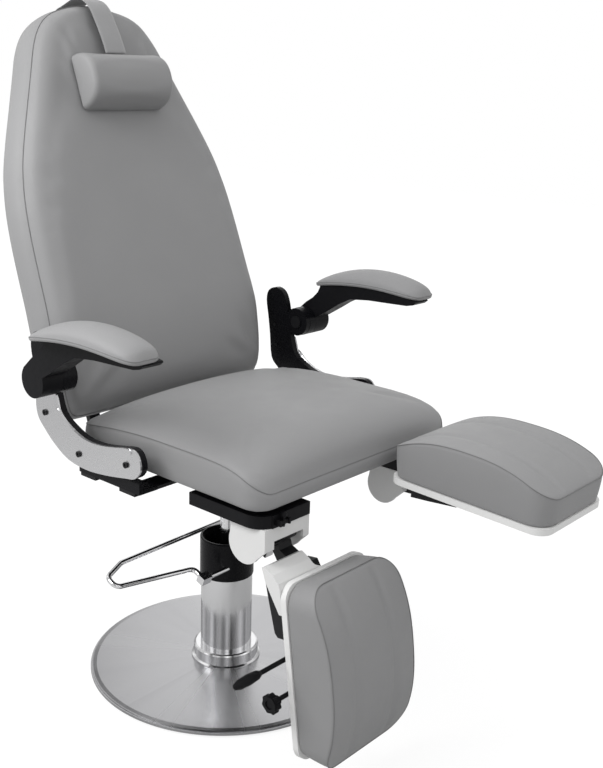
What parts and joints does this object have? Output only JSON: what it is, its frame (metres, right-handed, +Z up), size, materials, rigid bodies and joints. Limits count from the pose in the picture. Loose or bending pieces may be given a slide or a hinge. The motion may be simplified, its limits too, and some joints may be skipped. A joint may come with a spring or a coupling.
{
  "type": "podiatry chair",
  "caption": "Upholstered treatment chair on a hydraulic column: swivel seat, reclining back, flip-up arms, head pillow and separate tilting, sliding leg rests.",
  "frame": {"origin": "centre of the base disc, on the floor", "axes": "+Z up; the sitter faces -Y; +X is the sitter's left"},
  "size_m": [0.801, 1.1438, 1.2746],
  "materials": {
    "base_mat": "matte",
    "base_plate": "brushed",
    "base_cover": "brushed in circles",
    "base_collar": "polished",
    "column_tube": "polished",
    "column_sleeve": "satin",
    "pump_cylinder": "brushed",
    "ram_gland": "matte",
    "pedal_axle": "polished",
    "pedal_clamps": "polished",
    "pedal_loop": "polished",
    "lift_ram": "polished",
    "ram_head": "satin",
    "swivel_bearing": "machined",
    "swivel_plate": "satin",
    "seat_frame": "satin",
    "seat_board": "matte",
    "seat_cushion": "soft grain",
    "mount_box": "satin",
    "leg_housing": "satin",
    "leg_hinge_pins": "machined",
    "arm_bracket": "satin",
    "arm_cover": "satin",
    "arm_screws": "satin",
    "arm_pivot_pins": "satin",
    "arm_body": "satin",
    "arm_pad": "soft grain",
    "back_hinge_pin": "machined",
    "back_frame": "satin",
    "back_board": "matte",
    "back_cushion": "soft grain",
    "pillow_strap": "woven",
    "head_pillow": "soft grain",
    "pillow_weight": "woven",
    "back_spring_cylinder": "satin",
    "back_spring_rod": "polished",
    "release_lever": "satin",
    "leg_arm": "satin",
    "leg_ratchet": "satin",
    "leg_neck": "satin",
    "leg_plate": "satin",
    "leg_pad": "soft grain",
    "slide_bracket": "satin",
    "leg_lever": "satin",
    "leg_knob": "satin"
  },
  "bodies": {
    "base": {"base_mat": "base_mat", "base_plate": "base_plate", "base_cover": "base_cover", "base_collar": "base_collar", "column_tube": "column_tube", "column_sleeve": "column_sleeve", "pump_cylinder": "pump_cylinder", "ram_gland": "ram_gland"},
    "pedal": {"pedal_axle": "pedal_axle", "pedal_clamps": "pedal_clamps", "pedal_loop": "pedal_loop"},
    "lift": {"lift_ram": "lift_ram", "ram_head": "ram_head", "swivel_bearing": "swivel_bearing"},
    "seat": {"swivel_plate": "swivel_plate", "seat_frame": "seat_frame", "seat_board": "seat_board", "seat_cushion": "seat_cushion", "mount_box_right": "mount_box", "mount_box_left": "mount_box", "leg_housing_right": "leg_housing", "leg_housing_left": "leg_housing", "leg_hinge_pins": "leg_hinge_pins", "arm_bracket_right": "arm_bracket", "arm_bracket_left": "arm_bracket", "arm_cover_right": "arm_cover", "arm_cover_left": "arm_cover", "arm_screws": "arm_screws", "arm_pivot_pins": "arm_pivot_pins"},
    "back": {"back_hinge_pin": "back_hinge_pin", "back_frame": "back_frame", "back_board": "back_board", "back_cushion": "back_cushion", "pillow_strap": "pillow_strap"},
    "pillow": {"head_pillow": "head_pillow"},
    "counterweight": {"pillow_weight": "pillow_weight"},
    "back_spring_cylinder": {"back_spring_cylinder": "back_spring_cylinder"},
    "back_spring_rod": {"back_spring_rod": "back_spring_rod"},
    "arm_right": {"arm_body_right": "arm_body", "arm_pad_right": "arm_pad"},
    "release_lever_right": {"release_lever_right": "release_lever"},
    "leg_arm_right": {"leg_arm_right": "leg_arm", "leg_ratchet_right": "leg_ratchet", "leg_neck_right": "leg_neck"},
    "leg_rest_right": {"leg_plate_right": "leg_plate", "leg_pad_right": "leg_pad", "slide_bracket_right": "slide_bracket"},
    "leg_lever_right": {"leg_lever_right": "leg_lever"},
    "leg_knob_right": {"leg_knob_right": "leg_knob"},
    "arm_left": {"arm_body_left": "arm_body", "arm_pad_left": "arm_pad"},
    "release_lever_left": {"release_lever_left": "release_lever"},
    "leg_arm_left": {"leg_arm_left": "leg_arm", "leg_ratchet_left": "leg_ratchet", "leg_neck_left": "leg_neck"},
    "leg_rest_left": {"leg_plate_left": "leg_plate", "leg_pad_left": "leg_pad", "slide_bracket_left": "slide_bracket"},
    "leg_lever_left": {"leg_lever_left": "leg_lever"},
    "leg_knob_left": {"leg_knob_left": "leg_knob"}
  },
  "joints": [
    {"name": "pedal_press", "type": "hinge", "parent": "base", "child": "pedal", "pos_m": [0, -0.036, 0.225], "axis": [-1, 0, 0], "range_deg": [0, 18], "stiffness_Nm_per_rad": 4, "springref_deg": -11.46},
    {"name": "seat_lift", "type": "slide", "parent": "base", "child": "lift", "axis": [0, 0, 1], "range_m": [-0.06, 0.07]},
    {"name": "seat_swivel", "type": "hinge", "parent": "lift", "child": "seat", "pos_m": [0, 0, 0.458], "axis": [0, 0, 1], "continuous": true},
    {"name": "back_recline", "type": "hinge", "parent": "seat", "child": "back", "pos_m": [0, 0.18, 0.479], "axis": [-1, 0, 0], "range_deg": [0, 60]},
    {"name": "pillow_slide", "type": "slide", "parent": "back", "child": "pillow", "axis": [0, 0.3453, 0.9385], "range_m": [-0.08, 0]},
    {"name": "counterweight_slide", "type": "slide", "parent": "back", "child": "counterweight", "axis": [0, 0.3453, 0.9385], "range_m": [0, 0.08]},
    {"name": "back_spring_tilt", "type": "hinge", "parent": "seat", "child": "back_spring_cylinder", "pos_m": [0.071, -0.06, 0.432], "axis": [1, 0, 0], "range_deg": [0, 7.06]},
    {"name": "back_spring_stroke", "type": "slide", "parent": "back_spring_cylinder", "child": "back_spring_rod", "axis": [0, -1, 0], "range_m": [0, 0.045]},
    {"name": "arm_flip_right", "type": "hinge", "parent": "seat", "child": "arm_right", "pos_m": [0, 0.097, 0.64], "axis": [-1, 0, 0], "range_deg": [0, 90]},
    {"name": "release_lever_pull_right", "type": "hinge", "parent": "seat", "child": "release_lever_right", "pos_m": [-0.203, -0.329, 0.466], "axis": [1, 0, 0], "range_deg": [0, 18], "stiffness_Nm_per_rad": 0.02, "springref_deg": -17.19},
    {"name": "leg_pitch_right", "type": "hinge", "parent": "seat", "child": "leg_arm_right", "pos_m": [-0.1625, -0.2925, 0.4274], "axis": [-1, 0, 0], "range_deg": [0, 79.8]},
    {"name": "leg_slide_right", "type": "slide", "parent": "leg_arm_right", "child": "leg_rest_right", "axis": [0, -0.1409, -0.99], "range_m": [0, 0.06]},
    {"name": "leg_lever_turn_right", "type": "hinge", "parent": "leg_rest_right", "child": "leg_lever_right", "pos_m": [-0.21, -0.36382, 0.24564], "axis": [1, 0, 0], "range_deg": [-30, 30], "stiffness_Nm_per_rad": 0.02},
    {"name": "leg_knob_turn_right", "type": "hinge", "parent": "leg_rest_right", "child": "leg_knob_right", "pos_m": [-0.265, -0.37228, 0.18624], "axis": [1, 0, 0], "continuous": true},
    {"name": "arm_flip_left", "type": "hinge", "parent": "seat", "child": "arm_left", "pos_m": [0, 0.097, 0.64], "axis": [-1, 0, 0], "range_deg": [0, 90]},
    {"name": "release_lever_pull_left", "type": "hinge", "parent": "seat", "child": "release_lever_left", "pos_m": [0.203, -0.329, 0.466], "axis": [1, 0, 0], "range_deg": [0, 18], "stiffness_Nm_per_rad": 0.02, "springref_deg": -17.19},
    {"name": "leg_pitch_left", "type": "hinge", "parent": "seat", "child": "leg_arm_left", "pos_m": [0.1625, -0.2925, 0.4274], "axis": [-1, 0, 0], "range_deg": [-79.8, 0]},
    {"name": "leg_slide_left", "type": "slide", "parent": "leg_arm_left", "child": "leg_rest_left", "axis": [0, -0.9993, -0.0366], "range_m": [0, 0.06]},
    {"name": "leg_lever_turn_left", "type": "hinge", "parent": "leg_rest_left", "child": "leg_lever_left", "pos_m": [0.21, -0.48402, 0.46541], "axis": [1, 0, 0], "range_deg": [-30, 30], "stiffness_Nm_per_rad": 0.02},
    {"name": "leg_knob_turn_left", "type": "hinge", "parent": "leg_rest_left", "child": "leg_knob_left", "pos_m": [0.265, -0.54398, 0.46321], "axis": [1, 0, 0], "continuous": true}
  ],
  "couplings": [
    {"joint": "counterweight_slide", "follows": "pillow_slide", "ratio": -1},
    {"joint": "back_spring_tilt", "follows": "back_recline", "ratio": 0.10104},
    {"joint": "back_spring_stroke", "follows": "back_recline", "m_per_rad": 0.04014}
  ]
}
